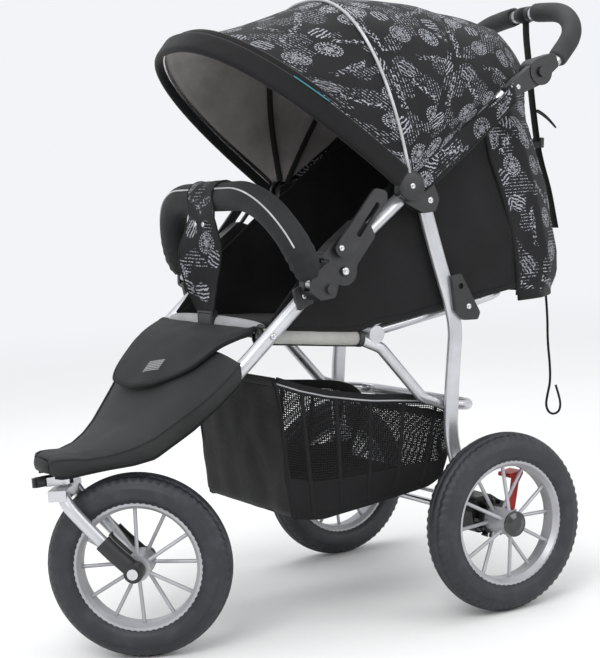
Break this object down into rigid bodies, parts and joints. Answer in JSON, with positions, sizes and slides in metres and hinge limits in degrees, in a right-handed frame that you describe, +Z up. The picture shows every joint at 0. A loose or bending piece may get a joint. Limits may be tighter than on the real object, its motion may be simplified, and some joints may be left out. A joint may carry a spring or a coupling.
{
  "type": "jogging stroller",
  "caption": "Folding jogging stroller with a swivelling front wheel, bumper bar, pivoting canopy, reclining seat, under-seat basket, tilting push handle and foot brake.",
  "frame": {"origin": "on the ground, at the middle of the stroller's own box", "axes": "+Z up, -Y towards the front wheel, +Y towards the push handle, +X towards the seated child's left, the brake pedal's side"},
  "size_m": [0.621, 1.1336, 1.0753],
  "materials": {
    "silver_paint": "satin",
    "bright_steel": "satin",
    "silver_plastic": "satin",
    "black_plastic": "matte",
    "gloss_black_plastic": "gloss",
    "red_plastic": "satin",
    "tyre_rubber": "matte",
    "black_foam": "matte",
    "black_fabric": "matte",
    "printed_fabric": "matte",
    "charcoal_fabric": "matte",
    "grey_fabric": "matte",
    "black_webbing": "matte"
  },
  "bodies": {
    "lower_frame": {"lower_tube_left": "silver_paint", "lower_tube_right": "silver_paint", "steering_head": "bright_steel", "fold_sockets": "black_plastic", "bumper_clamps": "black_plastic", "footrest_cover": "charcoal_fabric"},
    "swivel_lock": {"swivel_lock_knob": "black_plastic"},
    "fork": {"fork": "silver_paint", "dropout_sleeves": "black_plastic", "front_axle": "bright_steel"},
    "front_wheel": {"front_tyre": "tyre_rubber", "front_rim": "silver_plastic", "front_bearings": "bright_steel"},
    "bumper": {"bumper_tube": "silver_paint", "bumper_foam": "black_foam", "crotch_strap": "printed_fabric"},
    "bumper_button_left": {"bumper_button_left": "black_plastic"},
    "bumper_button_right": {"bumper_button_right": "black_plastic"},
    "upper_frame": {"upper_tube_left": "silver_paint", "upper_tube_right": "silver_paint", "fold_covers": "black_plastic", "canopy_brackets": "black_plastic", "handle_housings": "black_plastic", "seat_walls": "black_fabric", "rear_panel": "printed_fabric", "recline_strap": "black_webbing", "pull_strap": "black_webbing", "canopy_bow_rear": "bright_steel", "canopy_gore_rear": "printed_fabric"},
    "fold_latch_left": {"fold_latch_left": "black_plastic"},
    "fold_latch_right": {"fold_latch_right": "black_plastic"},
    "handle": {"handle_tube": "silver_paint", "handle_knuckles": "black_plastic", "handle_foam": "black_foam"},
    "handle_button_left": {"handle_button_left": "black_plastic"},
    "handle_button_right": {"handle_button_right": "black_plastic"},
    "canopy_middle": {"canopy_bow_middle": "bright_steel", "canopy_gore_middle": "printed_fabric"},
    "canopy_front": {"canopy_bow_front": "bright_steel", "canopy_gore_front": "printed_fabric"},
    "rear_legs": {"rear_leg_left": "silver_paint", "rear_leg_right": "silver_paint", "rear_axle": "bright_steel", "axle_housings": "black_plastic", "recline_brackets": "black_plastic"},
    "rear_wheel_left": {"rear_tyre_left": "tyre_rubber", "rear_rim_left": "silver_plastic", "brake_ring_left": "black_plastic", "hub_cap_left": "gloss_black_plastic"},
    "rear_wheel_right": {"rear_tyre_right": "tyre_rubber", "rear_rim_right": "silver_plastic", "brake_ring_right": "black_plastic", "hub_cap_right": "gloss_black_plastic"},
    "brake": {"brake_rod": "bright_steel", "brake_pedal": "red_plastic"},
    "seat_frame": {"seat_tube": "silver_paint", "seat_pad": "black_fabric", "basket": "black_fabric"},
    "backrest": {"backrest_tube": "silver_paint", "backrest_pad": "black_fabric"}
  },
  "joints": [
    {"name": "frame_fold", "type": "hinge", "parent": "lower_frame", "child": "upper_frame", "pos_m": [0, -0.0778, 0.612], "axis": [-1, 0, 0], "range_deg": [0, 100], "deforming": ["seat_walls", "rear_panel", "recline_strap", "pull_strap"]},
    {"name": "rear_leg_fold", "type": "hinge", "parent": "upper_frame", "child": "rear_legs", "pos_m": [0, 0.1082, 0.715], "axis": [1, 0, 0], "range_deg": [0, 56]},
    {"name": "seat_fold", "type": "hinge", "parent": "lower_frame", "child": "seat_frame", "pos_m": [0, -0.2128, 0.5185], "axis": [-1, 0, 0], "range_deg": [0, 70], "deforming": ["basket"]},
    {"name": "fork_swivel", "type": "hinge", "parent": "lower_frame", "child": "fork", "pos_m": [0, -0.5118, 0.318], "axis": [0, 0, 1], "continuous": true},
    {"name": "front_wheel_spin", "type": "hinge", "parent": "fork", "child": "front_wheel", "pos_m": [0.06678, -0.41818, 0.155], "axis": [0.8141, -0.5807, 0], "continuous": true},
    {"name": "swivel_lock_pull", "type": "slide", "parent": "lower_frame", "child": "swivel_lock", "axis": [0, -1, 0], "range_m": [0, 0.008], "stiffness_N_per_m": 500},
    {"name": "bumper_swing", "type": "hinge", "parent": "lower_frame", "child": "bumper", "pos_m": [0, -0.1468, 0.598], "axis": [1, 0, 0], "range_deg": [0, 70], "deforming": ["crotch_strap"]},
    {"name": "bumper_button_left_press", "type": "slide", "parent": "lower_frame", "child": "bumper_button_left", "axis": [-1, 0, 0], "range_m": [0, 0.004], "stiffness_N_per_m": 400},
    {"name": "bumper_button_right_press", "type": "slide", "parent": "lower_frame", "child": "bumper_button_right", "axis": [1, 0, 0], "range_m": [0, 0.004], "stiffness_N_per_m": 400},
    {"name": "fold_latch_left_lift", "type": "hinge", "parent": "upper_frame", "child": "fold_latch_left", "pos_m": [0.2295, -0.0868, 0.651], "axis": [1, 0, 0], "range_deg": [0, 25], "stiffness_Nm_per_rad": 0.5, "springref_deg": -11.46},
    {"name": "fold_latch_right_lift", "type": "hinge", "parent": "upper_frame", "child": "fold_latch_right", "pos_m": [-0.2295, -0.0868, 0.651], "axis": [1, 0, 0], "range_deg": [0, 25], "stiffness_Nm_per_rad": 0.5, "springref_deg": -11.46},
    {"name": "handle_tilt", "type": "hinge", "parent": "upper_frame", "child": "handle", "pos_m": [0, 0.3652, 0.924], "axis": [1, 0, 0], "range_deg": [-60, 30], "deforming": ["canopy_gore_rear"]},
    {"name": "handle_button_left_press", "type": "slide", "parent": "upper_frame", "child": "handle_button_left", "axis": [-1, 0, 0], "range_m": [0, 0.004], "stiffness_N_per_m": 400},
    {"name": "handle_button_right_press", "type": "slide", "parent": "upper_frame", "child": "handle_button_right", "axis": [1, 0, 0], "range_m": [0, 0.004], "stiffness_N_per_m": 400},
    {"name": "canopy_fold", "type": "hinge", "parent": "upper_frame", "child": "canopy_middle", "pos_m": [0, 0.0632, 0.742], "axis": [-1, 0, 0], "range_deg": [0, 26], "deforming": ["canopy_gore_middle"]},
    {"name": "canopy_front_fold", "type": "hinge", "parent": "canopy_middle", "child": "canopy_front", "pos_m": [0, 0.0632, 0.742], "axis": [-1, 0, 0], "range_deg": [0, 29.12], "deforming": ["canopy_gore_front"]},
    {"name": "backrest_recline", "type": "hinge", "parent": "seat_frame", "child": "backrest", "pos_m": [0, 0.0032, 0.495], "axis": [-1, 0, 0], "range_deg": [-55, 0]},
    {"name": "rear_wheel_left_spin", "type": "hinge", "parent": "rear_legs", "child": "rear_wheel_left", "pos_m": [0.2765, 0.1752, 0.155], "axis": [1, 0, 0], "continuous": true},
    {"name": "rear_wheel_right_spin", "type": "hinge", "parent": "rear_legs", "child": "rear_wheel_right", "pos_m": [-0.2765, 0.1752, 0.155], "axis": [1, 0, 0], "continuous": true},
    {"name": "brake_press", "type": "hinge", "parent": "rear_legs", "child": "brake", "pos_m": [0, 0.2212, 0.16], "axis": [-1, 0, 0], "range_deg": [0, 22]}
  ],
  "couplings": [
    {"joint": "rear_leg_fold", "follows": "frame_fold", "ratio": 0.553},
    {"joint": "seat_fold", "follows": "frame_fold", "ratio": 0.693},
    {"joint": "canopy_front_fold", "follows": "canopy_fold", "ratio": 1.12}
  ]
}
